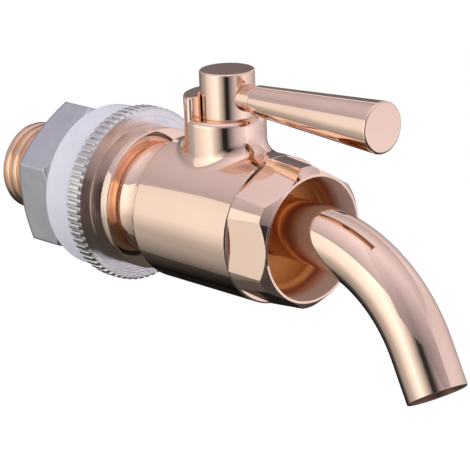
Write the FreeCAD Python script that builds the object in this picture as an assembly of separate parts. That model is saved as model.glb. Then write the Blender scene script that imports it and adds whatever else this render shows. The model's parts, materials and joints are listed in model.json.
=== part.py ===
import FreeCAD, Part
import math
import os

# A lever tap for a beverage dispenser: a small ball valve with a threaded tail that goes
# through the vessel's wall, a lock ring, gasket and nut that clamp it there, a quarter-turn
# lever on top and a bent spout in front.
# Millimetres. X runs along the tap from the inlet end of the tail to the mouth, Z is up
# along the stem. The origin is the centre of the tail's inlet end.

V = FreeCAD.Vector
X_AXIS = V(1, 0, 0)
Y_AXIS = V(0, 1, 0)
Z_AXIS = V(0, 0, 1)

# Shared by several pieces; past is how far a cutting shape runs past what it cuts
thread_clearance = 0.05
body_o_ring_section = 1.4
chamfer_angle = 30.0
past = 1.0

# Ball and seats: the ball touches its seats at seat_contact, a share of its radius
ball_d = 15.0
ball_bore_d = 8.0
ball_gap = 0.12
seat_contact = 0.7
seat_lip = 1.35
seat_thickness = 3.5
seat_rim = 0.9
seat_pocket_clearance = 0.05
chamber_clearance = 0.05
bore_step = 0.2
slot_width = 2.4
slot_depth = 2.5

# Valve body: waisted shoulder, barrel and the boss that carries the stem
sleeve_wall = 1.05
body_wall = 2.95
barrel_edge = 0.25
shoulder_drop = 2.5
shoulder_length = 6.2
shoulder_cove = 2.4
shoulder_edge = 0.35
waist_drop = 0.5
waist_length = 1.9
waist_round = 5.0
web_thickness = 2.2
seat_cover = 3.9
boss_rise = 5.4
boss_shift = 0.8
boss_fillet = 2.8
boss_edge = 0.9
stop_wall_thickness = 1.8
stop_wall_height = 3.7
stop_wall_edge = 0.35
stop_wall_round = 0.7
stop_gap = 0.15

# Tail fitting: threaded tail, flange and the spigot that screws into the body
tail_d = 16.0
tail_bore_d = 10.0
tail_chamfer = 0.8
tail_free_length = 11.65
thread_pitch = 2.0
thread_depth = 0.9
thread_crest = 0.95
thread_root = 0.45
flange_step = 0.05
flange_thickness = 4.1
flange_edge = 0.3
neck_step = 0.2
neck_length = 0.5
socket_wall = 1.45
spigot_length = 8.0
spigot_groove_setback = 1.2

# Wall clamp: nut, gasket and knurled lock ring on the tail
nut_thickness = 8.75
nut_wall = 4.5
nut_turn = 21.4
nut_gap = 0.1
nut_thread_clearance = 0.08
gasket_thickness = 7.0
gasket_margin = 0.066
gasket_edge = 0.9
slip_clearance = 0.15
ring_thickness = 3.2
ring_lip = 0.9
ring_bevel = 0.9
ring_bevel_width = 1.3
ring_rear_bevel = 0.3
knurl_count = 68
knurl_depth = 0.45
knurl_land = 0.62

# Stem: its head sits above the seats, under the washer and two O-rings
stem_d = 6.0
stem_clearance = 0.06
stem_head_lip = 0.7
stem_head_thickness = 1.5
stem_head_gap = 0.2
tang_clearance = 0.1
washer_thickness = 0.6
washer_gap = 0.05
stem_top_d = 4.6
stem_top_gap = 0.3
o_ring_section = 1.5
stem_o_ring_spacing = 2.9

# Handle: hub on the stem and the tapered lever that screws into it
hub_d = 9.3
hub_height = 7.75
hub_gap = 0.15
hub_edge = 0.35
hub_bore_clearance = 0.05
hub_roof = 1.5
wall_clearance = 0.45
lever_rise = 3.45
lever_root_d = 3.0
lever_root_reach = 1.0
lever_root_clearance = 0.05
lever_neck_d = 4.4
lever_neck_length = 3.1
lever_step = 0.35
lever_step_length = 0.15
lever_end_d = 8.6
lever_taper_length = 28.4
lever_edge = 0.4
lever_seat_depth = 0.55

# Front retainer with its cup, and the spout
retainer_head_length = 8.0
retainer_taper = 0.45
retainer_flat_drop = 0.85
retainer_turn = 1.0
retainer_groove_setback = 1.4
seat_stand = 0.4
mouth_drop = 1.65
mouth_bevel = 1.3
mouth_flat_margin = 0.05
mouth_rim = 0.45
cup_depth = 7.0
cup_corner = 1.5
spout_d = 10.2
spout_wall = 0.8
spout_rise = 1.0
spout_socket_depth = 3.2
spout_start = 0.7
spout_bend_radius = 25.5
spout_angle = 64.7
spout_end_length = 7.7

# Diameters that follow, from the ball outwards
seat_d = ball_d + 2 * seat_rim
passage_d = ball_bore_d + 2 * bore_step
chamber_d = seat_d + 2 * chamber_clearance
sleeve_d = seat_d + 2 * (seat_pocket_clearance + sleeve_wall)
barrel_d = sleeve_d + 2 * (thread_clearance + body_wall)
shoulder_d = barrel_d - 2 * shoulder_drop
neck_d = shoulder_d - 2 * neck_step
spigot_d = shoulder_d - 2 * (socket_wall + thread_clearance)
flange_d = barrel_d - 2 * flange_step
mouth_d = barrel_d - 2 * mouth_drop
cup_d = mouth_d - 2 * mouth_rim
nut_across_flats = tail_d + 2 * nut_wall
nut_corner_d = nut_across_flats / math.cos(math.pi / 6)
gasket_d = nut_corner_d + 2 * gasket_margin
ring_d = gasket_d + 2 * ring_lip
ring_face_d = ring_d - 2 * ring_bevel_width
stem_head_d = stem_d + 2 * stem_head_lip
boss_d = hub_d + 2 * (wall_clearance + stop_wall_thickness)
lever_hole_d = lever_root_d + 2 * lever_root_clearance
lever_small_d = lever_neck_d + 2 * lever_step

# Places along X
nut_x = tail_free_length
gasket_x = nut_x + nut_thickness + nut_gap
ring_x = gasket_x + gasket_thickness
flange_x = ring_x + ring_thickness
neck_x = flange_x + flange_thickness
body_x = neck_x + neck_length
spigot_end_x = body_x + spigot_length
spigot_groove_x = spigot_end_x - spigot_groove_setback - body_o_ring_section
seat_reach = seat_contact * ball_d / 2 - seat_lip
rear_seat_x = spigot_end_x + web_thickness
stem_x = rear_seat_x + seat_thickness + seat_reach
front_seat_x = stem_x + seat_reach
front_seat_end_x = front_seat_x + seat_thickness
sleeve_x = front_seat_x + seat_stand
body_end_x = front_seat_end_x + seat_cover
sleeve_groove_x = body_end_x - retainer_groove_setback - body_o_ring_section
mouth_x = body_end_x + retainer_head_length
cup_floor_x = mouth_x - cup_depth
boss_x = stem_x - boss_shift
lever_seat_x = stem_x + hub_d / 2 - lever_seat_depth

# Heights along Z
tang_z = ball_d / 2 - slot_depth + tang_clearance
head_z = seat_d / 2 + stem_head_gap
washer_z = head_z + stem_head_thickness
bonnet_z = washer_z + washer_thickness + washer_gap
ledge_z = barrel_d / 2 + boss_rise
wall_top_z = ledge_z + stop_wall_height
hub_z = ledge_z + hub_gap
hub_top_z = hub_z + hub_height
lever_z = hub_z + lever_rise
stem_top_z = hub_top_z - hub_roof - stem_top_gap


def turned(points, z=0.0):
    """Solid of revolution about X, at height z, from (x, radius) points."""
    corners = [V(x, 0, z + r) for x, r in points]
    return Part.Face(Part.makePolygon(corners + [corners[0]])).revolve(V(0, 0, z), X_AXIS, 360)


def rod(x0, x1, d, z=0.0):
    """Round bar along X."""
    return Part.makeCylinder(d / 2, x1 - x0, V(x0, 0, z), X_AXIS)


def post(z0, z1, d, x=stem_x):
    """Round bar along Z, on the stem's axis unless x is given."""
    return Part.makeCylinder(d / 2, z1 - z0, V(x, 0, z0), Z_AXIS)


def hexagon(across_flats, x0, x1, turn):
    """Hexagonal bar along X; turn is the angle of a corner up from the -Y side."""
    r = across_flats / 2 / math.cos(math.pi / 6)
    angles = [math.radians(turn) + i * math.pi / 3 for i in range(6)]
    corners = [V(x0, -r * math.cos(a), r * math.sin(a)) for a in angles]
    face = Part.Face(Part.makePolygon(corners + [corners[0]]))
    return face.extrude(V(x1 - x0, 0, 0))


def chamfer_drop(height):
    """Length along X of a nut chamfer that takes this much off the radius."""
    return height * math.tan(math.radians(chamfer_angle))


def o_ring(core_d, section, at, axis):
    """Round-section ring on a core of the given diameter."""
    return Part.makeTorus((core_d + section) / 2, section / 2, at, axis)


def o_ring_groove(x0, outer_d):
    """Ring to cut from a bar along X for one of the body's O-rings."""
    x1 = x0 + body_o_ring_section
    return rod(x0, x1, outer_d + past).cut(rod(x0, x1, outer_d - 2 * body_o_ring_section))


def body_o_ring(groove_x, outer_d):
    middle = V(groove_x + body_o_ring_section / 2, 0, 0)
    return o_ring(outer_d - 2 * body_o_ring_section, body_o_ring_section, middle, X_AXIS)


def edges_at(shape, test):
    """Edges whose middle point passes the test."""
    picked = []
    for edge in shape.Edges:
        middle = edge.valueAt((edge.FirstParameter + edge.LastParameter) / 2)
        if test(middle):
            picked.append(edge)
    return picked


def near(a, b):
    return abs(a - b) < 0.01


def thread_ridges():
    """Outline points of the tail's thread, its turns drawn as rings, from the chamfer to the flange."""
    crest_r = tail_d / 2
    root_r = crest_r - thread_depth
    flank = (thread_pitch - thread_crest - thread_root) / 2
    points = []
    x = tail_chamfer + thread_crest
    while x + thread_pitch < flange_x:
        points += [(x, crest_r), (x + flank, root_r), (x + flank + thread_root, root_r),
                   (x + 2 * flank + thread_root, crest_r)]
        x += thread_pitch
    return points


def tail_fitting():
    tail_r = tail_d / 2
    flange_r = flange_d / 2
    spigot_r = spigot_d / 2
    profile = [(0, 0), (0, tail_r - tail_chamfer), (tail_chamfer, tail_r), *thread_ridges(),
               (flange_x, tail_r),
               (flange_x, flange_r - flange_edge), (flange_x + flange_edge, flange_r),
               (neck_x - flange_edge, flange_r), (neck_x, flange_r - flange_edge),
               (neck_x, neck_d / 2), (body_x, neck_d / 2),
               (body_x, spigot_r), (spigot_end_x, spigot_r), (spigot_end_x, 0)]
    solid = turned(profile).cut(rod(0, spigot_end_x, tail_bore_d))
    return solid.cut(o_ring_groove(spigot_groove_x, spigot_d))


def hex_nut():
    x0 = nut_x
    x1 = nut_x + nut_thickness
    flat = nut_across_flats / 2
    corner = nut_corner_d / 2
    drop = chamfer_drop(corner - flat)
    blank = turned([(x0, 0), (x0, flat), (x0 + drop, corner), (x1 - drop, corner), (x1, flat), (x1, 0)])
    bore = tail_d / 2 + nut_thread_clearance
    lead = bore + tail_chamfer
    hole = turned([(x0, 0), (x0, lead), (x0 + tail_chamfer, bore), (x1 - tail_chamfer, bore),
                   (x1, lead), (x1, 0)])
    return hexagon(nut_across_flats, x0, x1, nut_turn).common(blank).cut(hole)


def wall_gasket():
    x1 = gasket_x + gasket_thickness
    blank = rod(gasket_x, x1, gasket_d)
    rims = edges_at(blank, lambda p: near(math.hypot(p.y, p.z), gasket_d / 2) and
                    (near(p.x, gasket_x) or near(p.x, x1)))
    return blank.makeFillet(gasket_edge, rims).cut(rod(gasket_x, x1, tail_d + 2 * slip_clearance))


def knurl_outline(x):
    """Toothed outline of the lock ring in a plane across X."""
    outer = ring_d / 2
    root = outer - knurl_depth
    pitch = 2 * math.pi / knurl_count
    land = pitch * knurl_land / 2
    foot = (pitch / 2 + land) / 2
    points = []
    for i in range(knurl_count):
        for turn, r in ((-land, outer), (land, outer), (foot, root), (pitch - foot, root)):
            a = i * pitch + turn
            points.append(V(x, r * math.cos(a), r * math.sin(a)))
    return Part.Face(Part.makePolygon(points + [points[0]]))


def lock_ring():
    x1 = ring_x + ring_thickness
    outer = ring_d / 2
    bore = tail_d / 2 + slip_clearance
    teeth = knurl_outline(ring_x).extrude(V(ring_thickness, 0, 0))
    blank = turned([(ring_x, bore), (ring_x, outer - ring_rear_bevel), (ring_x + ring_rear_bevel, outer),
                    (x1 - ring_bevel, outer), (x1, ring_face_d / 2), (x1, bore)])
    return teeth.common(blank)


def stop_wall():
    """Wall round the back half of the hub; the lever's neck stops against its flat ends."""
    wall = post(ledge_z - boss_edge, wall_top_z, boss_d, boss_x)
    stop_face = stem_x - lever_neck_d / 2 - stop_gap
    front = Part.makeBox(boss_d, 2 * boss_d, 2 * wall_top_z, V(stop_face, -boss_d, 0))
    wall = wall.cut(front)
    wall = wall.makeFillet(stop_wall_round, edges_at(wall, lambda p: near(p.x, stop_face) and
                                                     not near(p.y, 0)))
    wall = wall.makeFillet(stop_wall_edge, edges_at(wall, lambda p: near(p.z, wall_top_z)))
    return wall.cut(post(ledge_z, wall_top_z + past, hub_d + 2 * wall_clearance))


def stem_boss():
    boss = post(0, ledge_z, boss_d, boss_x)
    boss = boss.makeFillet(boss_edge, edges_at(boss, lambda p: near(p.z, ledge_z)))
    return boss.fuse(stop_wall()).removeSplitter()


def body_barrel():
    """Barrel with its waisted shoulder, solid; the waist leans out again to meet the tail's flange."""
    r = barrel_d / 2
    shoulder_r = shoulder_d / 2
    waist_r = shoulder_r - waist_drop
    waist_x = body_x + waist_length
    shoulder_x = body_x + shoulder_length
    barrel = turned([(body_x, 0), (body_x, shoulder_r), (waist_x, waist_r), (shoulder_x, waist_r),
                     (shoulder_x, r), (body_end_x - barrel_edge, r), (body_end_x, r - barrel_edge),
                     (body_end_x, 0)])
    for x, edge_r, fillet in ((waist_x, waist_r, waist_round), (shoulder_x, waist_r, shoulder_cove),
                              (shoulder_x, r, shoulder_edge)):
        corner = edges_at(barrel, lambda p: near(p.x, x) and near(math.hypot(p.y, p.z), edge_r))
        barrel = barrel.makeFillet(fillet, corner)
    return barrel


def valve_body():
    r = barrel_d / 2
    body = body_barrel().fuse(stem_boss()).removeSplitter()
    seam = edges_at(body, lambda p: near(math.hypot(p.y, p.z), r) and
                    near(math.hypot(p.x - boss_x, p.y), boss_d / 2))
    body = body.makeFillet(boss_fillet, seam)
    hollow = rod(body_x, spigot_end_x, spigot_d + 2 * thread_clearance)
    hollow = hollow.fuse([rod(body_x, body_end_x, passage_d),
                          rod(rear_seat_x, body_end_x, chamber_d),
                          rod(sleeve_x, body_end_x, sleeve_d + 2 * thread_clearance),
                          post(0, bonnet_z, stem_head_d + 2 * stem_clearance),
                          post(0, ledge_z + past, stem_d + 2 * stem_clearance)])
    return body.cut(hollow)


def seat(x0):
    """Ring seat that starts at x0, hollowed to the ball."""
    x1 = x0 + seat_thickness
    hollow = Part.makeSphere(ball_d / 2 + ball_gap, V(stem_x, 0, 0))
    return rod(x0, x1, seat_d).cut(hollow).cut(rod(x0, x1, passage_d))


def ball():
    sphere = Part.makeSphere(ball_d / 2, V(stem_x, 0, 0))
    floor_z = ball_d / 2 - slot_depth
    slot = Part.makeBox(slot_width, ball_d, ball_d, V(stem_x - slot_width / 2, -ball_d / 2, floor_z))
    return sphere.cut(rod(stem_x - ball_d, stem_x + ball_d, ball_bore_d)).cut(slot)


def stem_ring_heights():
    """Middles of the two O-ring grooves of the stem."""
    middle = (bonnet_z + ledge_z) / 2
    return [middle - stem_o_ring_spacing / 2, middle + stem_o_ring_spacing / 2]


def stem():
    core = stem_d - 2 * o_ring_section
    solid = post(head_z, washer_z, stem_head_d)
    solid = solid.fuse([post(washer_z, ledge_z, stem_d), post(ledge_z, stem_top_z, stem_top_d)])
    for z in stem_ring_heights():
        low = z - o_ring_section / 2
        high = z + o_ring_section / 2
        solid = solid.cut(post(low, high, stem_d + past).cut(post(low, high, core)))
    tang_width = slot_width - 2 * tang_clearance
    corner = V(stem_x - tang_width / 2, -stem_d / 2, tang_z)
    tang = Part.makeBox(tang_width, stem_d, head_z - tang_z, corner)
    hole = rod(stem_x - stem_top_d, stem_x + stem_top_d, lever_hole_d, lever_z)
    return solid.fuse(tang).cut(hole).removeSplitter()


def thrust_washer():
    top_z = washer_z + washer_thickness
    return post(washer_z, top_z, stem_head_d).cut(post(washer_z, top_z, stem_d + 2 * stem_clearance))


def stem_o_ring(z):
    return o_ring(stem_d - 2 * o_ring_section, o_ring_section, V(stem_x, 0, z), Z_AXIS)


def handle_hub():
    hub = post(hub_z, hub_top_z, hub_d)
    hub = hub.makeFillet(hub_edge, edges_at(hub, lambda p: near(p.z, hub_top_z)))
    hub = hub.cut(post(hub_z, hub_top_z - hub_roof, stem_top_d + 2 * hub_bore_clearance))
    screw_hole = rod(stem_x, stem_x + hub_d, lever_hole_d, lever_z)
    pocket = rod(lever_seat_x, stem_x + hub_d, lever_neck_d + 2 * lever_root_clearance, lever_z)
    return hub.cut(screw_hole).cut(pocket)


def lever_arm():
    root_x = stem_x - lever_root_reach
    taper_x = lever_seat_x + lever_neck_length
    end_x = taper_x + lever_taper_length
    root_r = lever_root_d / 2
    neck_r = lever_neck_d / 2
    end_r = lever_end_d / 2
    profile = [(root_x, 0), (root_x, root_r), (lever_seat_x, root_r), (lever_seat_x, neck_r),
               (taper_x, neck_r), (taper_x + lever_step_length, lever_small_d / 2),
               (end_x, end_r), (end_x, 0)]
    lever = turned(profile, lever_z)
    rim = edges_at(lever, lambda p: near(p.x, end_x) and near(math.hypot(p.y, p.z - lever_z), end_r))
    return lever.makeFillet(lever_edge, rim)


def retainer_flats():
    """Six blocks to cut from the retainer's head; their flats lean in towards the mouth."""
    rear_flat = barrel_d / 2 - retainer_flat_drop
    front_flat = mouth_d / 2 + mouth_flat_margin
    lean = math.degrees(math.atan2(rear_flat - front_flat, retainer_head_length))
    block = Part.makeBox(barrel_d, barrel_d, barrel_d, V(body_end_x - past, -barrel_d / 2, rear_flat))
    block.rotate(V(body_end_x, 0, rear_flat), Y_AXIS, lean)
    blocks = []
    for i in range(6):
        turned_block = block.copy()
        turned_block.rotate(V(0, 0, 0), X_AXIS, 90 - retainer_turn - 60 * i)
        blocks.append(turned_block)
    return blocks


def front_retainer():
    r = barrel_d / 2
    head = turned([(body_end_x, 0), (body_end_x, r), (mouth_x - mouth_bevel, r - retainer_taper),
                   (mouth_x, mouth_d / 2), (mouth_x, 0)]).cut(retainer_flats())
    solid = head.fuse(rod(sleeve_x, body_end_x, sleeve_d)).removeSplitter()
    cup = rod(cup_floor_x, mouth_x + past, cup_d)
    cup = cup.makeFillet(cup_corner, edges_at(cup, lambda p: near(p.x, cup_floor_x)))
    socket_x = cup_floor_x - spout_socket_depth
    for hollow in (cup,
                   rod(socket_x, cup_floor_x, spout_d + 2 * thread_clearance, spout_rise),
                   rod(sleeve_x, socket_x, passage_d),
                   rod(sleeve_x, front_seat_end_x, seat_d + 2 * seat_pocket_clearance),
                   o_ring_groove(sleeve_groove_x, sleeve_d)):
        solid = solid.cut(hollow)
    return solid


def bent_bar(d, extra):
    """Round bar along the spout's route; extra lengthens both ends past the tube."""
    bend_x = mouth_x + spout_start
    angle = math.radians(spout_angle)
    straight = rod(cup_floor_x - spout_socket_depth - extra, bend_x, d, spout_rise)
    section = Part.Face(Part.Wire(Part.makeCircle(d / 2, V(bend_x, 0, spout_rise), X_AXIS)))
    pivot = V(bend_x, 0, spout_rise - spout_bend_radius)
    bend = section.revolve(pivot, Y_AXIS, spout_angle)
    bend_end = pivot + V(math.sin(angle), 0, math.cos(angle)) * spout_bend_radius
    along = V(math.cos(angle), 0, -math.sin(angle))
    end = Part.makeCylinder(d / 2, spout_end_length + extra, bend_end, along)
    return straight.fuse([bend, end]).removeSplitter()


def spout_tube():
    return bent_bar(spout_d, 0).cut(bent_bar(spout_d - 2 * spout_wall, past))


def build():
    low_ring, high_ring = stem_ring_heights()
    return {
        "tail_fitting": tail_fitting(),
        "tail_o_ring": body_o_ring(spigot_groove_x, spigot_d),
        "hex_nut": hex_nut(),
        "wall_gasket": wall_gasket(),
        "lock_ring": lock_ring(),
        "valve_body": valve_body(),
        "rear_seat": seat(rear_seat_x),
        "ball": ball(),
        "front_seat": seat(front_seat_x),
        "front_retainer": front_retainer(),
        "retainer_o_ring": body_o_ring(sleeve_groove_x, sleeve_d),
        "spout_tube": spout_tube(),
        "stem": stem(),
        "thrust_washer": thrust_washer(),
        "lower_stem_o_ring": stem_o_ring(low_ring),
        "upper_stem_o_ring": stem_o_ring(high_ring),
        "handle_hub": handle_hub(),
        "lever_arm": lever_arm(),
    }


os.makedirs("parts", exist_ok=True)
for name, shape in build().items():
    shape.exportStep("parts/" + name + ".step")
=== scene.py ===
import json
import math

import bmesh
import bpy
from mathutils import Matrix, Vector


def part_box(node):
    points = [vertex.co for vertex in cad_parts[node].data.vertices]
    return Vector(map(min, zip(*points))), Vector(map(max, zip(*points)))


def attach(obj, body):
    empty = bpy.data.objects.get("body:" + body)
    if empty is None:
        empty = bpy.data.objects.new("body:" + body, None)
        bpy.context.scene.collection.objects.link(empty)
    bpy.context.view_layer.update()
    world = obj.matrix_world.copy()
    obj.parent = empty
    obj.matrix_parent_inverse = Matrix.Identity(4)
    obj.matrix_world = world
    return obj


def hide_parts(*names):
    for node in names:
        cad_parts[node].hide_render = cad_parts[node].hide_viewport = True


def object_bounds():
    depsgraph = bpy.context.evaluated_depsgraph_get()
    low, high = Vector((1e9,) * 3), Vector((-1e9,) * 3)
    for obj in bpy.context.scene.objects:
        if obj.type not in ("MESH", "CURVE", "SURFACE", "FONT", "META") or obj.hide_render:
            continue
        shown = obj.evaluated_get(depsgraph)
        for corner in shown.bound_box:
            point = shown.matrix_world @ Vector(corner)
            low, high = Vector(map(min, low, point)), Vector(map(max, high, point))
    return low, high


# Looks for a rose gold lever tap: a threaded tail, polished and satin metals, silicone and seals,
# in a plain white studio. Metres, in the same frame as the CAD.

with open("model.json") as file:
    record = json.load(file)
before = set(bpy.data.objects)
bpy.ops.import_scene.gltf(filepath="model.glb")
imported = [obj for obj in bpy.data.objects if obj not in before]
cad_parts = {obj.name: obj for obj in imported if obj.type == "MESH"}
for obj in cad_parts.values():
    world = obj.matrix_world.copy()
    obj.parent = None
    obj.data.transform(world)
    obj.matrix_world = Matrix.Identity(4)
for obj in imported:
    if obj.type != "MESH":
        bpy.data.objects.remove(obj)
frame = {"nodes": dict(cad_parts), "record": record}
cad_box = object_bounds()
nodes = frame["nodes"]
mounts = {m["name"]: m for m in frame["record"]["mounts"]}
MM = 0.001

# Camera: where the photograph was taken from
CAMERA_PLACE = Vector((0.3499, -0.2753, 0.1213))
CAMERA_AZIMUTH = 47.12
CAMERA_ELEVATION = 17.08
CAMERA_ROLL = -2.09
FOCAL_PIXELS = 2500
PHOTO_PIXELS = 470
SENSOR = 36.0

# Round pieces: points to a circle, and the angle in degrees from which an edge is sharp
ROUND_STEPS = 96
SHARP = 35.0

# Thread on the tail; its outline is (share of a pitch, share of the depth) over one pitch
PITCH = 2.0 * MM
THREAD_DEPTH = 0.85 * MM
THREAD_PROFILE = ((0.0, 0.22), (0.03, 0.10), (0.10, 0.03), (0.24, 0.005), (0.39, 0.0), (0.54, 0.005),
                  (0.68, 0.03), (0.75, 0.10), (0.78, 0.22), (0.86, 1.0), (0.92, 1.0))
THREAD_CHAMFER = 0.8 * MM

# Tail: the rounded edges of its flange, and the neck between flange and body
FLANGE_EDGE = 0.3 * MM
NECK_RADIUS = 9.8 * MM
NECK_LENGTH = 0.5 * MM

# Knurl of the lock ring; a tooth's outline is (share of the space to the next, share of the depth)
TEETH = 68
TOOTH_PROFILE = ((-0.30, 0.85), (-0.22, 1.0), (0.22, 1.0), (0.30, 0.85), (0.40, 0.0), (0.60, 0.0))
TOOTH_DEPTH = 0.5 * MM
TOOTH_BACK_EDGE = 0.25 * MM
TOOTH_FRONT_EDGE = 0.4 * MM
TOOTH_END_HEIGHT = 0.12 * MM
RING_FACE_EDGE = 0.25 * MM
RING_CLEARANCE = 0.15 * MM

# Cup in the front retainer: its radius, how far in from the mouth its painted shade starts and is full,
# what it adds to the roughness, how metallic its mouth is, and the colours of its painted light and
# painted shade
CUP_RADIUS = 10.43 * MM
CUP_PAINTED_SHADE_START = 3.0 * MM
CUP_PAINTED_SHADE_FULL = 6.6 * MM
CUP_HAZE = 0.34
CUP_MOUTH_METAL = 0.3
CUP_PAINTED_LIGHT_COLOUR = (0.98, 0.84, 0.77)
CUP_PAINTED_SHADE_COLOUR = (0.62, 0.25, 0.075)

# Spout: its wall, where it bends, and how far its outlet is cut towards the front
SPOUT_WALL = 0.8 * MM
SPOUT_RISE = 1.0 * MM
SPOUT_START = 0.7 * MM
BEND_RADIUS = 25.5 * MM
BEND_ANGLE = math.radians(64.7)
BEND_STEPS = 40
OUTLET_LEAN = 0.14
OUTLET_SIDE = (133, 17)
OUTLET_EDGE = 0.15 * MM

# Washer under the hub
WASHER_THICKNESS = 0.12 * MM
WASHER_MARGIN = 0.3 * MM
WASHER_LIP = 0.02 * MM

# Studio floor: its drop below the tap, half its width, its own light, and the share of that light
# against its shading
FLOOR_DROP = 0.20
FLOOR_Z = cad_box[0].z - FLOOR_DROP
FLOOR_REACH = 6.0
FLOOR_LIGHT = 1.06
FLOOR_LIGHT_SHARE = 0.9

# Studio light: the middle that cards and lamps stand round, the cards' distance, height above the
# floor and degrees to a cell, the lamps' distance and size, and the light from all round
STUDIO_MIDDLE = Vector((0.055, 0.0, 0.0))
CARD_DISTANCE = 0.55
CARD_LIFT = 0.001
CARD_CELL = (5, 4)
LAMP_DISTANCE = 0.9
LAMP_SIZE = 0.6
AMBIENT = 0.62
COOL = (1.0, 0.94, 1.06)
WARM = (1.0, 0.99, 0.98)
WHITE = (1.0, 1.0, 1.0)


def direction(azimuth, elevation):
    """Unit vector; azimuth 0 is +Y and 90 is +X, elevation is above the horizon."""
    a, e = math.radians(azimuth), math.radians(elevation)
    return Vector((math.sin(a) * math.cos(e), math.cos(a) * math.cos(e), math.sin(e)))


def add_camera():
    forward = direction(-CAMERA_AZIMUTH, -CAMERA_ELEVATION)
    level = Vector((math.cos(math.radians(CAMERA_AZIMUTH)), math.sin(math.radians(CAMERA_AZIMUTH)), 0))
    up = level.cross(forward)
    roll = math.radians(CAMERA_ROLL)
    right = level * math.cos(roll) + up * math.sin(roll)
    up = up * math.cos(roll) - level * math.sin(roll)
    data = bpy.data.cameras.new("camera")
    data.sensor_width = SENSOR
    data.lens = SENSOR * FOCAL_PIXELS / PHOTO_PIXELS
    data.clip_start, data.clip_end = 0.01, 20
    camera = bpy.data.objects.new("camera", data)
    bpy.context.scene.collection.objects.link(camera)
    turn = Matrix((right, up, -forward)).transposed()
    camera.matrix_world = Matrix.Translation(CAMERA_PLACE) @ turn.to_4x4()
    bpy.context.scene.camera = camera


add_camera()
bpy.context.scene.view_settings.view_transform = "Standard"


# Shader nodes; owner is a material or the world

def node(owner, kind, **values):
    made = owner.node_tree.nodes.new(kind)
    for socket, value in values.items():
        made.inputs[socket.replace("_", " ")].default_value = value
    return made


def join(owner, output, to_node, socket):
    """Links an output socket to a node's socket, by the socket's name or number."""
    owner.node_tree.links.new(output, to_node.inputs[socket])


def calculate(owner, operation, *values):
    """Output of a math node; each value is a number or an output socket."""
    made = node(owner, "ShaderNodeMath")
    made.operation = operation
    for i, value in enumerate(values):
        if isinstance(value, (int, float)):
            made.inputs[i].default_value = value
        else:
            join(owner, value, made, i)
    return made.outputs["Value"]


def own_place(owner):
    """Place in the piece's own frame, which is the frame of the CAD."""
    return node(owner, "ShaderNodeTexCoord").outputs["Object"]


def scaled_place(owner, scale):
    mapping = node(owner, "ShaderNodeMapping", Scale=scale)
    join(owner, own_place(owner), mapping, "Vector")
    return mapping.outputs["Vector"]


def off_axis(owner):
    """Distance from the tap's long axis."""
    length = node(owner, "ShaderNodeVectorMath")
    length.operation = "LENGTH"
    join(owner, scaled_place(owner, (0, 1, 1)), length, "Vector")
    return length.outputs["Value"]


def noise(owner, scale, detail, stretch=None):
    """Noise in the piece's own frame; stretch gives other scales along X, Y and Z."""
    texture = node(owner, "ShaderNodeTexNoise", Scale=scale, Detail=detail)
    place = scaled_place(owner, stretch) if stretch else own_place(owner)
    join(owner, place, texture, "Vector")
    return texture.outputs["Fac"]


# Materials

def principled(material):
    return material.node_tree.nodes["Principled BSDF"]


def new_material(name, **values):
    """Principled material with its constants on the shader's own sockets."""
    material = bpy.data.materials.new(name)
    material.use_nodes = True
    for socket, value in values.items():
        principled(material).inputs[socket.replace("_", " ")].default_value = value
    return material


def vary(material, texture, socket, low, high):
    """Drives a shader value between low and high from a texture."""
    spread = node(material, "ShaderNodeMapRange", To_Min=low, To_Max=high)
    join(material, texture, spread, "Value")
    join(material, spread.outputs["Result"], principled(material), socket)


def tint(material, texture, dark, light):
    """Drives the base colour between two colours from a texture."""
    ramp = node(material, "ShaderNodeValToRGB")
    for stop, position, colour in zip(ramp.color_ramp.elements, (0.3, 0.7), (dark, light)):
        stop.position = position
        stop.color = (*colour, 1)
    join(material, texture, ramp, "Fac")
    join(material, ramp.outputs["Color"], principled(material), "Base Color")


def relief(material, layers, edge=0.0):
    """Bump layers of (texture, depth in metres), over edges rounded by edge."""
    before = None
    if edge:
        before = node(material, "ShaderNodeBevel", Radius=edge)
        before.samples = 6
    for texture, depth in layers:
        bump = node(material, "ShaderNodeBump", Distance=depth, Strength=1.0)
        join(material, texture, bump, "Height")
        if before:
            join(material, before.outputs["Normal"], bump, "Normal")
        before = bump
    join(material, before.outputs["Normal"], principled(material), "Normal")


def rose_gold():
    """Polished plating: slow waves left by the buff, fine haze and a trace of wear."""
    m = new_material("rose_gold_polished", Metallic=1.0, Specular_Tint=(1.0, 0.93, 0.88, 1))
    tint(m, noise(m, 90, 3), (0.90, 0.665, 0.53), (0.94, 0.715, 0.575))
    vary(m, noise(m, 900, 4), "Roughness", 0.03, 0.075)
    relief(m, [(noise(m, 70, 1), 2.0e-6), (noise(m, 2600, 3), 5e-8)], 0.12 * MM)
    return m


def thread_painted_reflection():
    """Rose gold on the thread, a little softer than the polished faces, with a painted reflection: a
    warmer tone for the light bounced between its flanks.
    """
    m = new_material("thread_painted_reflection", Metallic=1.0)
    tint(m, noise(m, 160, 3), (0.93, 0.61, 0.41), (0.97, 0.67, 0.47))
    vary(m, noise(m, 900, 4), "Roughness", 0.06, 0.12)
    relief(m, [(noise(m, 1100, 3), 6e-7)], 0.1 * MM)
    return m


def bore_painted_shade():
    """Painted shade inside the spout: a dark, dull metal all through its bore."""
    m = new_material("bore_painted_shade", Metallic=1.0)
    tint(m, noise(m, 260, 3), (0.24, 0.13, 0.09), (0.34, 0.19, 0.13))
    vary(m, noise(m, 1200, 3), "Roughness", 0.35, 0.55)
    relief(m, [(noise(m, 1500, 3), 6e-6)])
    return m


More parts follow.
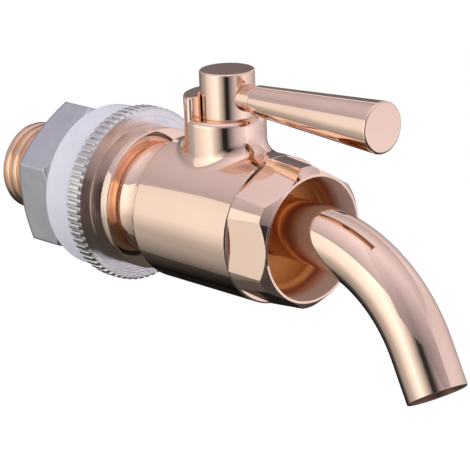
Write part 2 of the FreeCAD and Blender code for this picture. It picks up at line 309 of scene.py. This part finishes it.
def inside_cup(material):
    """Two shares: 1 all through the retainer's cup, for its painted light, and 1 at its floor that fades
    out to its mouth, for its painted shade.
    """
    mouth_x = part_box("front_retainer")[1].x
    apart = node(material, "ShaderNodeSeparateXYZ")
    join(material, own_place(material), apart, "Vector")
    depth = node(material, "ShaderNodeMapRange", From_Min=mouth_x - CUP_PAINTED_SHADE_START, From_Max=mouth_x - CUP_PAINTED_SHADE_FULL)
    join(material, apart.outputs["X"], depth, "Value")
    within = calculate(material, "LESS_THAN", off_axis(material), CUP_RADIUS)
    painted_shade_share = calculate(material, "MULTIPLY", depth.outputs["Result"], within)
    return within, painted_shade_share


def blend(material, share, start, colour):
    """Colour that goes from the start's to a set one by a share; all but colour are sockets."""
    mix = node(material, "ShaderNodeMix")
    mix.data_type = "RGBA"
    colours = [socket for socket in mix.inputs if socket.type == "RGBA"]
    colours[1].default_value = (*colour, 1)
    material.node_tree.links.new(start, colours[0])
    join(material, share, mix, "Factor")
    return [socket for socket in mix.outputs if socket.type == "RGBA"][0]


def rose_gold_cup_painted_light_shade():
    """Rose gold whose cup is softer in gloss, with painted light, a light pinkish and less metallic tone
    at its mouth, and painted shade, dark copper at its floor."""
    m = rose_gold()
    m.name = "rose_gold_cup_painted_light_shade"
    shader = principled(m)
    within, painted_shade_share = inside_cup(m)
    gold = shader.inputs["Base Color"].links[0].from_socket
    # Painted light: a light pinkish tone through the whole cup; then painted shade in dark copper at its
    # floor
    painted_light_tone = blend(m, within, gold, CUP_PAINTED_LIGHT_COLOUR)
    join(m, blend(m, painted_shade_share, painted_light_tone, CUP_PAINTED_SHADE_COLOUR), shader, "Base Color")
    haze = shader.inputs["Roughness"].links[0].from_socket
    join(m, calculate(m, "MULTIPLY_ADD", within, CUP_HAZE, haze), shader, "Roughness")
    # Painted light: the cup's mouth is less metallic, so its light pinkish tone shows
    metal = node(m, "ShaderNodeMapRange", To_Min=1.0, To_Max=CUP_MOUTH_METAL)
    join(m, calculate(m, "SUBTRACT", within, painted_shade_share), metal, "Value")
    join(m, metal.outputs["Result"], shader, "Metallic")
    return m


def nickel(name="nickel", dark=(0.64, 0.62, 0.61), light=(0.74, 0.72, 0.71)):
    m = new_material(name, Metallic=1.0)
    tint(m, noise(m, 300, 3), dark, light)
    vary(m, noise(m, 1500, 3), "Roughness", 0.13, 0.2)
    relief(m, [(noise(m, 1400, 4, (0.35, 1, 1)), 1.2e-5)], 0.08 * MM)
    return m


def turned_nickel():
    """Nickel over turned marks: fine rings about the axis that spread the light across them."""
    # Painted light: a tone lighter than plain nickel's
    m = nickel("nickel_turned_painted_light", (0.72, 0.70, 0.69), (0.82, 0.80, 0.79))
    marks = node(m, "ShaderNodeTexNoise", Scale=5200, Detail=3)
    marks.noise_dimensions = "1D"
    join(m, off_axis(m), marks, "W")
    bump = node(m, "ShaderNodeBump", Distance=1.5e-5, Strength=1.0)
    join(m, marks.outputs["Fac"], bump, "Height")
    join(m, principled(m).inputs["Normal"].links[0].from_socket, bump, "Normal")
    join(m, bump.outputs["Normal"], principled(m), "Normal")
    return m


def satin_steel():
    """Blasted and lightly tumbled steel with fine grain."""
    m = new_material("satin_steel", Metallic=1.0)
    tint(m, noise(m, 160, 3), (0.61, 0.61, 0.64), (0.72, 0.72, 0.75))
    vary(m, noise(m, 700, 3), "Roughness", 0.20, 0.30)
    relief(m, [(noise(m, 120, 2), 2.5e-5), (noise(m, 2600, 3), 8e-7)], 0.8 * MM)
    return m


def brass():
    m = new_material("brass", Metallic=1.0)
    tint(m, noise(m, 200, 3), (0.72, 0.50, 0.24), (0.80, 0.58, 0.30))
    vary(m, noise(m, 1600, 3), "Roughness", 0.14, 0.28)
    relief(m, [(noise(m, 1800, 3, (0.2, 1, 1)), 3e-6)], 0.05 * MM)
    return m


def silicone():
    """Milky, slightly cloudy silicone with a soft moulded skin."""
    m = new_material("silicone", IOR=1.43, Subsurface_Weight=0.35,
                     Subsurface_Radius=(0.004, 0.004, 0.0045), Subsurface_Scale=1.0)
    tint(m, noise(m, 130, 3), (0.69, 0.68, 0.78), (0.77, 0.76, 0.85))
    vary(m, noise(m, 700, 3), "Roughness", 0.36, 0.5)
    relief(m, [(noise(m, 900, 3), 8e-6)], 0.1 * MM)
    return m


def ptfe():
    m = new_material("ptfe", Roughness=0.45, Subsurface_Weight=0.1, Subsurface_Scale=0.002)
    tint(m, noise(m, 250, 2), (0.80, 0.80, 0.78), (0.86, 0.86, 0.84))
    relief(m, [(noise(m, 2500, 3), 3e-6)])
    return m


def black_rubber():
    m = new_material("black_rubber")
    tint(m, noise(m, 500, 3), (0.016, 0.016, 0.017), (0.03, 0.03, 0.031))
    vary(m, noise(m, 900, 3), "Roughness", 0.4, 0.6)
    relief(m, [(noise(m, 1700, 3), 6e-6)])
    return m


FINISHES = {
    "rose_gold": rose_gold(),
    "rose_gold_cup_painted_light_shade": rose_gold_cup_painted_light_shade(),
    "thread_painted_reflection": thread_painted_reflection(),
    "bore_painted_shade": bore_painted_shade(),
    "nickel": nickel(),
    "nickel_turned_painted_light": turned_nickel(),
    "satin_steel": satin_steel(),
    "brass": brass(),
    "silicone": silicone(),
    "ptfe": ptfe(),
    "black_rubber": black_rubber(),
}
NODE_FINISH = {
    "tail_fitting": "rose_gold",
    "valve_body": "rose_gold",
    "front_retainer": "rose_gold_cup_painted_light_shade",
    "spout_tube": "rose_gold",
    "handle_hub": "rose_gold",
    "lever_arm": "rose_gold",
    "lock_ring": "nickel",
    "hex_nut": "satin_steel",
    "wall_gasket": "silicone",
    "ball": "nickel",
    "stem": "brass",
    "rear_seat": "ptfe",
    "front_seat": "ptfe",
    "thrust_washer": "ptfe",
    "tail_o_ring": "black_rubber",
    "retainer_o_ring": "black_rubber",
    "lower_stem_o_ring": "black_rubber",
    "upper_stem_o_ring": "black_rubber",
}


def dress_nodes():
    for name, finish in NODE_FINISH.items():
        data = nodes[name].data
        if not data.materials:
            data.materials.append(None)
        for i in range(len(data.materials)):
            data.materials[i] = FINISHES[finish]


dress_nodes()


# Mesh helpers for the pieces made here

def circle(count=ROUND_STEPS):
    """Cosine and sine at even steps round a circle."""
    angles = [2 * math.pi * i / count for i in range(count)]
    return [(math.cos(a), math.sin(a)) for a in angles]


def plain_loop(mesh, x, r, count=ROUND_STEPS):
    """Loop of points about the X axis."""
    return [mesh.verts.new((x, r * c, r * s)) for c, s in circle(count)]


def bridge(mesh, a, b, finish=0):
    """Faces between two loops; finish is their place in the piece's list of finishes."""
    for i in range(len(a)):
        j = (i + 1) % len(a)
        face = mesh.faces.new((a[i], a[j], b[j], b[i]))
        face.material_index = finish


def loop_edges(mesh, loop):
    return [mesh.edges.get((loop[i], loop[(i + 1) % len(loop)])) for i in range(len(loop))]


def edges_in_plane(mesh, x):
    """Open edges in the plane across the X axis at x."""
    return [e for e in mesh.edges if e.is_boundary and all(abs(v.co.x - x) < 1e-6 for v in e.verts)]


def rounded(x, r, dx, dr, radius, steps=4):
    """Points round an outer corner at (x, r); dx and dr say which way the walls leave it."""
    cx, cr = x + dx * radius, r + dr * radius
    points = []
    for i in range(steps + 1):
        a = math.pi / 2 * i / steps
        points.append((cx - dx * radius * math.cos(a), cr - dr * radius * math.sin(a)))
    return points


def finish_piece(mesh, name, finishes, stands_for=None, body="tap_body"):
    """Turns the mesh into a piece on a body, which may stand for one of its nodes."""
    bmesh.ops.recalc_face_normals(mesh, faces=mesh.faces[:])
    for face in mesh.faces:
        face.smooth = True
    for e in mesh.edges:
        e.smooth = e.is_manifold and e.calc_face_angle(0) < math.radians(SHARP)
    data = bpy.data.meshes.new(name)
    mesh.to_mesh(data)
    mesh.free()
    piece = bpy.data.objects.new(name, data)
    bpy.context.scene.collection.objects.link(piece)
    for finish in finishes:
        data.materials.append(FINISHES[finish])
    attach(piece, body)
    if stands_for:
        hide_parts(stands_for)


# Tail with its real thread

def thread_rows(mesh, start, end, major):
    """Rows of points, each one turn along the helix, from before start to past end."""
    turns = math.ceil((end - start) / PITCH) + 3
    first = start - 2 * PITCH
    rows = []
    for turn in range(turns):
        for phase, depth in THREAD_PROFILE:
            row = []
            for step, (c, s) in enumerate(circle()):
                x = first + (turn + phase + step / ROUND_STEPS) * PITCH
                chamfered = major - THREAD_CHAMFER + max(x - start, 0)
                r = min(major - depth * THREAD_DEPTH, chamfered)
                row.append(mesh.verts.new((x, r * c, r * s)))
            rows.append(row)
    return rows


def thread_skin(mesh, start, end, major, finish):
    """Helical skin cut square at start and end; a row's last point meets the row one pitch on."""
    rows = thread_rows(mesh, start, end, major)
    per_turn = len(THREAD_PROFILE)
    for i in range(len(rows) - per_turn - 1):
        for step in range(ROUND_STEPS):
            last = step == ROUND_STEPS - 1
            after = (step + 1) % ROUND_STEPS
            a, b = (rows[i + per_turn], rows[i + per_turn + 1]) if last else (rows[i], rows[i + 1])
            face = mesh.faces.new((rows[i][step], a[after], b[after], rows[i + 1][step]))
            face.material_index = finish
    loose = [v for v in mesh.verts if not v.link_faces]
    bmesh.ops.delete(mesh, geom=loose, context="VERTS")
    for x, side in ((start, -1), (end, 1)):
        bmesh.ops.bisect_plane(mesh, geom=mesh.verts[:] + mesh.edges[:] + mesh.faces[:], dist=1e-7,
                               plane_co=(x, 0, 0), plane_no=(side, 0, 0), clear_outer=True)


def turned_skin(mesh, profile):
    """Surface of revolution about X from (x, radius) points; returns the edges of its open ends."""
    rings = [plain_loop(mesh, x, r) for x, r in profile]
    for ring, after in zip(rings, rings[1:]):
        bridge(mesh, ring, after)
    return loop_edges(mesh, rings[0]), loop_edges(mesh, rings[-1])


def threaded_tail():
    """The tail fitting as one piece: threaded tail, polished flange, neck and spigot, with its bore."""
    low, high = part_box("tail_fitting")
    flange_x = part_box("lock_ring")[1].x
    body_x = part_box("valve_body")[0].x
    neck_x = body_x - NECK_LENGTH
    seal_low, seal_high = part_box("tail_o_ring")
    flange_r = high.y
    bore_r = mounts["inlet_bore"]["dims"]["r_mm"] * MM
    tail_r = mounts["tail_thread"]["dims"]["r_mm"] * MM
    spigot_r = seal_high.y
    groove_r = spigot_r - (seal_high.x - seal_low.x)
    mesh = bmesh.new()
    # The thread's faces take the second finish, with its painted reflection
    thread_skin(mesh, low.x, flange_x, tail_r, finish=1)
    tail_end = edges_in_plane(mesh, low.x)
    tail_root = edges_in_plane(mesh, flange_x)
    front_edge = rounded(neck_x, flange_r, -1, -1, FLANGE_EDGE)
    profile = rounded(flange_x, flange_r, 1, -1, FLANGE_EDGE) + front_edge[::-1]
    profile += [(neck_x, NECK_RADIUS), (body_x, NECK_RADIUS), (body_x, spigot_r), (seal_low.x, spigot_r),
                (seal_low.x, groove_r), (seal_high.x, groove_r), (seal_high.x, spigot_r),
                (high.x, spigot_r), (high.x, bore_r), (low.x, bore_r)]
    flange_start, bore_end = turned_skin(mesh, profile)
    bmesh.ops.triangle_fill(mesh, edges=tail_root + flange_start, use_beauty=True)
    bmesh.ops.triangle_fill(mesh, edges=tail_end + bore_end, use_beauty=True)
    finish_piece(mesh, "threaded_tail", ["rose_gold", "thread_painted_reflection"], "tail_fitting")


threaded_tail()


# Lock ring whose teeth run on over its front edge

def tooth_loop(mesh, x, top_r, root_r):
    """Loop of points round the knurl at x; each tooth has a rounded land and sloping sides."""
    space = 2 * math.pi / TEETH
    loop = []
    for i in range(TEETH):
        for share, level in TOOTH_PROFILE:
            angle = (i + share) * space
            r = root_r + (top_r - root_r) * level
            loop.append(mesh.verts.new((x, r * math.cos(angle), r * math.sin(angle))))
    return loop


def knurled_ring():
    """The lock ring as one piece: teeth, front face, bore and back face."""
    low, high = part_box("lock_ring")
    outer = high.z
    root = outer - TOOTH_DEPTH
    bore = mounts["tail_thread"]["dims"]["r_mm"] * MM + RING_CLEARANCE
    mesh = bmesh.new()
    tops = ((low.x, outer - TOOTH_BACK_EDGE), (low.x + TOOTH_BACK_EDGE, outer),
            (high.x - TOOTH_FRONT_EDGE, outer), (high.x, root + TOOTH_END_HEIGHT))
    loops = [tooth_loop(mesh, x, top, root) for x, top in tops]
    count = len(loops[0])
    for x, r in ((high.x, root - RING_FACE_EDGE), (high.x, bore), (low.x, bore)):
        loops.append(plain_loop(mesh, x, r, count))
    for a, b in zip(loops, loops[1:] + loops[:1]):
        bridge(mesh, a, b)
    finish_piece(mesh, "knurled_ring", ["nickel_turned_painted_light"], "lock_ring")


knurled_ring()


# Spout with its outlet cut slightly askew

def spout_section(mesh, centre, slope, r, face=None):
    """Loop across the spout where it points slope below the axis; face is the plane of an askew cut."""
    along = Vector((math.cos(slope), 0, -math.sin(slope)))
    up = Vector((math.sin(slope), 0, math.cos(slope)))
    loop = []
    for c, s in circle():
        arm = (Vector((0, c, 0)) + up * s) * r
        if face:
            arm -= along * (arm.dot(face) / along.dot(face))
        loop.append(mesh.verts.new(centre + arm))
    return loop


def spout_route():
    """Centres and slopes from the spout's seat in the retainer to the end of its bend."""
    bend_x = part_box("front_retainer")[1].x + SPOUT_START
    route = [(Vector((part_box("spout_tube")[0].x, 0, SPOUT_RISE)), 0.0)]
    for i in range(BEND_STEPS + 1):
        slope = BEND_ANGLE * i / BEND_STEPS
        drop = BEND_RADIUS * (1 - math.cos(slope))
        route.append((Vector((bend_x + BEND_RADIUS * math.sin(slope), 0, SPOUT_RISE - drop)), slope))
    return route


def askew_spout():
    """The spout as one piece: straight start, bend, rounded rim at the outlet, and its bore in painted
    shade.
    """
    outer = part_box("spout_tube")[1].y
    inner = outer - SPOUT_WALL
    outlet = Vector(mounts["spout_outlet"]["pos_m"])
    along = Vector((math.cos(BEND_ANGLE), 0, -math.sin(BEND_ANGLE)))
    face = (along + direction(*OUTLET_SIDE) * OUTLET_LEAN).normalized()
    mesh = bmesh.new()
    loops = [spout_section(mesh, centre, slope, outer) for centre, slope in spout_route()]
    for back, r in ((OUTLET_EDGE, outer), (0, outer - OUTLET_EDGE), (0, inner + OUTLET_EDGE),
                    (OUTLET_EDGE, inner)):
        loops.append(spout_section(mesh, outlet - along * back, BEND_ANGLE, r, face))
    bore_start = len(loops) - 1
    loops += [spout_section(mesh, centre, slope, inner) for centre, slope in reversed(spout_route())]
    # Faces of the bore take the painted shade
    for i, (a, b) in enumerate(zip(loops, loops[1:] + loops[:1])):
        bridge(mesh, a, b, 1 if i >= bore_start else 0)
    finish_piece(mesh, "askew_spout", ["rose_gold", "bore_painted_shade"], "spout_tube")


askew_spout()


# Thin washer under the hub

def hub_washer():
    """Ring that fills most of the running gap, so that none shows."""
    low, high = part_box("handle_hub")
    middle = (low + high) / 2
    inner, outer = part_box("stem")[1].y + WASHER_MARGIN, high.y + WASHER_LIP
    under = low.z - WASHER_THICKNESS
    mesh = bmesh.new()
    loops = []
    for z, r in ((under, inner), (under, outer), (low.z, outer), (low.z, inner)):
        loops.append([mesh.verts.new((middle.x + r * c, r * s, z)) for c, s in circle()])
    for a, b in zip(loops, loops[1:] + loops[:1]):
        bridge(mesh, a, b)
    finish_piece(mesh, "hub_washer", ["rose_gold"], body="handle")


hub_washer()


# Studio: white floor and world, cards that only reflections see, and soft lamps

def shown_rays(owner):
    """1 for rays that see the background: from the camera, in a reflection or through glass."""
    path = node(owner, "ShaderNodeLightPath")
    total = path.outputs["Is Camera Ray"]
    for ray in ("Is Glossy Ray", "Is Transmission Ray"):
        total = calculate(owner, "MAXIMUM", total, path.outputs[ray])
    return total


def white_world():
    """White where it is seen, and dimmer as a light."""
    world = bpy.data.worlds.new("studio")
    bpy.context.scene.world = world
    world.use_nodes = True
    world.node_tree.nodes.clear()
    seen = node(world, "ShaderNodeBackground", Color=(*WHITE, 1))
    ambient = node(world, "ShaderNodeBackground", Color=(*WHITE, 1), Strength=AMBIENT)
    mix = node(world, "ShaderNodeMixShader")
    join(world, shown_rays(world), mix, "Fac")
    join(world, ambient.outputs["Background"], mix, 1)
    join(world, seen.outputs["Background"], mix, 2)
    join(world, mix.outputs["Shader"], node(world, "ShaderNodeOutputWorld"), "Surface")


def add_mesh(name, vertices, faces, material):
    data = bpy.data.meshes.new(name)
    data.from_pydata(vertices, [], faces)
    data.materials.append(material)
    made = bpy.data.objects.new(name, data)
    bpy.context.scene.collection.objects.link(made)
    return made


def pale_floor():
    """Plain floor: mostly its own white, with enough shading to keep the tap's shadow."""
    m = new_material("pale_floor", Base_Color=(0.86, 0.86, 0.86, 1), Roughness=0.9)
    own = node(m, "ShaderNodeEmission", Strength=FLOOR_LIGHT)
    mix = node(m, "ShaderNodeMixShader")
    join(m, calculate(m, "MULTIPLY", shown_rays(m), FLOOR_LIGHT_SHARE), mix, "Fac")
    join(m, principled(m).outputs["BSDF"], mix, 1)
    join(m, own.outputs["Emission"], mix, 2)
    join(m, mix.outputs["Shader"], m.node_tree.nodes["Material Output"], "Surface")
    s, z = FLOOR_REACH, FLOOR_Z
    add_mesh("floor", [(-s, -s, z), (s, -s, z), (s, s, z), (-s, s, z)], [(0, 1, 2, 3)], m)


def card_material():
    """Plain light in the colours of the card's own points."""
    material = bpy.data.materials.new("studio_card")
    material.use_nodes = True
    material.node_tree.nodes.clear()
    shade = node(material, "ShaderNodeVertexColor")
    shade.layer_name = "shade"
    light = node(material, "ShaderNodeEmission")
    join(material, shade.outputs["Color"], light, "Color")
    join(material, light.outputs["Emission"], node(material, "ShaderNodeOutputMaterial"), "Surface")
    return material


def card(name, azimuths, elevations, shades, colour=WHITE, on_floor=False):
    """Card round the tap, seen only in reflections; shades are its brightness at the corners
    (low left, low right, high left, high right). On the floor it lies flat just above it."""
    (a0, a1), (e0, e1) = azimuths, elevations
    across, rows = round((a1 - a0) / CARD_CELL[0]), round((e1 - e0) / CARD_CELL[1])
    vertices, colours = [], []
    for j in range(rows + 1):
        for i in range(across + 1):
            u, v = i / across, j / rows
            way = direction(a0 + (a1 - a0) * u, e0 + (e1 - e0) * v)
            reach = (FLOOR_Z + CARD_LIFT) / way.z if on_floor else CARD_DISTANCE
            vertices.append(STUDIO_MIDDLE + way * reach)
            low = shades[0] * (1 - u) + shades[1] * u
            high = shades[2] * (1 - u) + shades[3] * u
            level = low * (1 - v) + high * v
            colours.append([level * c for c in colour] + [1.0])
    faces = []
    for j in range(rows):
        for i in range(across):
            k = j * (across + 1) + i
            faces.append((k, k + 1, k + across + 2, k + across + 1))
    made = add_mesh(name, vertices, faces, CARD_LOOK)
    layer = made.data.color_attributes.new("shade", "FLOAT_COLOR", "POINT")
    for point, point_colour in zip(layer.data, colours):
        point.color = point_colour
    made.visible_camera = False
    made.visible_diffuse = False
    made.visible_transmission = False
    made.visible_shadow = False


def lamp(name, way, power):
    """Soft square lamp that points at the tap and shows in no reflection."""
    data = bpy.data.lights.new(name, "AREA")
    data.size = LAMP_SIZE
    data.energy = power
    made = bpy.data.objects.new(name, data)
    bpy.context.scene.collection.objects.link(made)
    made.location = STUDIO_MIDDLE + way * LAMP_DISTANCE
    made.rotation_euler = (-way).to_track_quat("-Z", "Y").to_euler()
    made.visible_glossy = False
    made.visible_camera = False


white_world()
pale_floor()
CARD_LOOK = card_material()
# Left, above and below the horizon
card("left_softbox", (-180, -127), (-4, 29), (1.5, 0.91, 1.6, 0.95), WARM)
card("left_skirt", (-180, -127), (-20, -4), (1.15, 0.52, 1.5, 0.91), WARM)
card("left_floor", (-195, -127), (-50, -20), (0.45, 0.20, 1.15, 0.52), WARM, on_floor=True)
card("side_floor", (-127, -105), (-50, -20), (0.28, 0.07, 0.54, 0.40), WARM, on_floor=True)
card("side_floor_dark", (-105, -72), (-50, -20), (0.02, 0.0, 0.22, 0.0), WARM, on_floor=True)
card("side_horizon", (-127, -60), (-20, -8), (0.50, 0.02, 0.60, 0.06))
card("backdrop_card", (-127, -33), (-8, 29), (0.60, 0.10, 0.55, 0.14), COOL)
card("back_black", (-60, -33), (-20, -8), (0.01, 0.02, 0.02, 0.05))
card("back_floor", (-72, -33), (-50, -20), (0.01, 0.01, 0.01, 0.02), WARM, on_floor=True)
# Overhead
card("ceiling_left", (-195, -60), (29, 90), (0.62, 0.44, 1.20, 1.20), COOL)
card("ceiling_back", (-60, 75), (33, 90), (0.45, 0.70, 1.05, 1.05), COOL)
# Behind and to the right
card("back_right", (-33, 10), (-20, 33), (0.25, 0.60, 0.75, 1.0), COOL)
card("right_low", (10, 75), (-20, 5), (0.58, 1.25, 0.75, 0.95), COOL)
card("right_high", (10, 75), (5, 33), (0.75, 0.95, 0.85, 0.72), COOL)
# Round the camera
card("camera_right", (75, 106), (-20, 18), (1.10, 0.64, 0.95, 0.55), COOL)
card("camera_edge", (106, 131), (-20, 18), (0.64, 0.02, 0.55, 0.05), COOL)
card("camera_black", (131, 142), (-20, 18), (0.02, 0.02, 0.04, 0.04))
card("camera_left", (142, 165), (-20, 18), (0.02, 0.75, 0.08, 1.0), WARM)
card("left_edge", (165, 180), (-20, 29), (0.75, 1.30, 1.05, 1.60), WARM)
card("camera_above_right", (75, 130), (18, 90), (0.50, 0.20, 1.05, 1.05), COOL)
card("camera_above", (130, 165), (18, 90), (0.20, 0.45, 1.05, 1.05), COOL)
# Under
card("floor_right", (-33, 165), (-50, -20), (0.06, 0.08, 0.10, 0.10), WARM, on_floor=True)
card("floor_under", (-195, 165), (-89, -50), (0.08, 0.08, 0.12, 0.06), WARM, on_floor=True)
lamp("key_lamp", direction(-150, 35), 1.6)
lamp("fill_lamp", direction(80, 36), 1.6)
lamp("front_lamp", direction(128, 52), 1.3)
